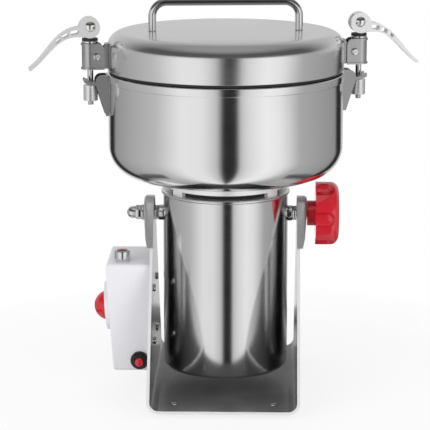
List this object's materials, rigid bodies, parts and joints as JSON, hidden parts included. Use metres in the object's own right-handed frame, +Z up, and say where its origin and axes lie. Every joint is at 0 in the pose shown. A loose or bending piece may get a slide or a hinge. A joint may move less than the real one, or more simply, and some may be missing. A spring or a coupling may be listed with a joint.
{
  "type": "electric grain mill",
  "caption": "Swing-type electric grain mill: steel bowl on a motor barrel, pivoted in a bent sheet stand, lid held by cam clamps, control box at the side and a lobed lock knob.",
  "frame": {"origin": "on the floor, below the axis of the mill, in the middle of the four feet", "axes": "+Z up, +X to the side of the lock knob, -Y to the front"},
  "size_m": [0.397, 0.2414, 0.4077],
  "materials": {
    "polished_steel": "polished",
    "brushed_steel": "brushed",
    "bright_metal": "bright",
    "cast_metal": "satin cast",
    "box_paint": "silver powder coat",
    "red_plastic": "glossy",
    "lens": "clear dark red",
    "black_plastic": "satin",
    "rubber": "matt",
    "rotor_steel": "ground",
    "lamination": "varnished sheet stack",
    "copper": "enamelled copper",
    "carbon": "carbon",
    "brass": "plain"
  },
  "bodies": {
    "base": {"base_frame": "polished_steel", "pivot_block_left": "cast_metal", "pivot_block_right": "cast_metal", "rubber_feet": "rubber", "base_screws": "bright_metal", "control_box": "box_paint", "button_boss": "cast_metal", "pilot_bezel": "bright_metal", "pilot_lens": "lens", "breaker_ring": "black_plastic", "cable_gland": "black_plastic"},
    "power_button": {"power_button": "red_plastic"},
    "breaker_button": {"breaker_button": "red_plastic"},
    "mill": {"motor_barrel": "polished_steel", "vent_cover": "brushed_steel", "mill_screws": "bright_metal", "upper_shield": "cast_metal", "lower_shield": "cast_metal", "bearings": "rotor_steel", "stator": "lamination", "field_windings": "copper", "brush_holders": "black_plastic", "brushes": "carbon", "brush_springs": "rotor_steel", "neck_ring": "polished_steel", "bowl": "polished_steel", "seal_housing": "cast_metal", "shaft_seal": "rubber", "bowl_bracket_left": "brushed_steel", "bowl_bracket_right": "brushed_steel", "pivot_studs": "bright_metal", "pivot_nuts": "bright_metal", "pivot_washers": "bright_metal"},
    "rotor": {"rotor_shaft": "rotor_steel", "armature": "copper", "commutator": "copper", "cooling_fan": "black_plastic", "blades": "rotor_steel", "blade_spacers": "rotor_steel", "blade_nut": "rotor_steel"},
    "lid": {"lid_shell": "brushed_steel", "lid_gasket": "rubber", "lid_handle": "bright_metal", "lid_ears": "brushed_steel"},
    "clamp_left": {"clamp_box_left": "brushed_steel", "clamp_screw_left": "bright_metal", "clamp_washers_left": "bright_metal"},
    "rod_left": {"clamp_rod_left": "bright_metal", "clamp_nut_left": "bright_metal"},
    "lever_left": {"clamp_lever_left": "cast_metal"},
    "clamp_right": {"clamp_box_right": "brushed_steel", "clamp_screw_right": "bright_metal", "clamp_washers_right": "bright_metal"},
    "rod_right": {"clamp_rod_right": "bright_metal", "clamp_nut_right": "bright_metal"},
    "lever_right": {"clamp_lever_right": "cast_metal"},
    "knob": {"lock_knob": "red_plastic", "knob_insert": "brass"}
  },
  "joints": [
    {"name": "mill_tilt", "type": "hinge", "parent": "base", "child": "mill", "pos_m": [0, 0, 0.185], "axis": [1, 0, 0], "range_deg": [-75, 75]},
    {"name": "knob_turn", "type": "hinge", "parent": "mill", "child": "knob", "pos_m": [0.1, 0, 0.185], "axis": [1, 0, 0], "continuous": true},
    {"name": "rotor_spin", "type": "hinge", "parent": "mill", "child": "rotor", "pos_m": [0, 0, 0.15], "axis": [0, 0, 1], "continuous": true},
    {"name": "lid_lift", "type": "slide", "parent": "mill", "child": "lid", "axis": [0, 0, 1], "range_m": [0, 0.2]},
    {"name": "power_press", "type": "slide", "parent": "base", "child": "power_button", "axis": [0.9977, 0, 0.0671], "range_m": [0, 0.004], "stiffness_N_per_m": 400, "springref_m": -0.001},
    {"name": "breaker_press", "type": "slide", "parent": "base", "child": "breaker_button", "axis": [0, 1, 0], "range_m": [0, 0.003], "stiffness_N_per_m": 400, "springref_m": -0.001},
    {"name": "clamp_left_swing", "type": "hinge", "parent": "lid", "child": "clamp_left", "pos_m": [-0.13029, -0.02297, 0.3512], "axis": [-0.1736, 0.9848, 0], "range_deg": [0, 27]},
    {"name": "rod_left_slide", "type": "slide", "parent": "clamp_left", "child": "rod_left", "axis": [0, 0, -1], "range_m": [0, 0.0022]},
    {"name": "lever_left_turn", "type": "hinge", "parent": "rod_left", "child": "lever_left", "pos_m": [-0.1362, -0.02402, 0.38133], "axis": [-0.1736, 0.9848, 0], "range_deg": [0, 120]},
    {"name": "clamp_right_swing", "type": "hinge", "parent": "lid", "child": "clamp_right", "pos_m": [0.13029, 0.02297, 0.3512], "axis": [0.1736, -0.9848, 0], "range_deg": [0, 27]},
    {"name": "rod_right_slide", "type": "slide", "parent": "clamp_right", "child": "rod_right", "axis": [0, 0, -1], "range_m": [0, 0.0022]},
    {"name": "lever_right_turn", "type": "hinge", "parent": "rod_right", "child": "lever_right", "pos_m": [0.1362, 0.02402, 0.38133], "axis": [0.1736, -0.9848, 0], "range_deg": [0, 120]}
  ],
  "couplings": [
    {"joint": "rod_left_slide", "follows": "lever_left_turn", "m_per_rad": 0.0010337},
    {"joint": "rod_right_slide", "follows": "lever_right_turn", "m_per_rad": 0.0010337}
  ]
}
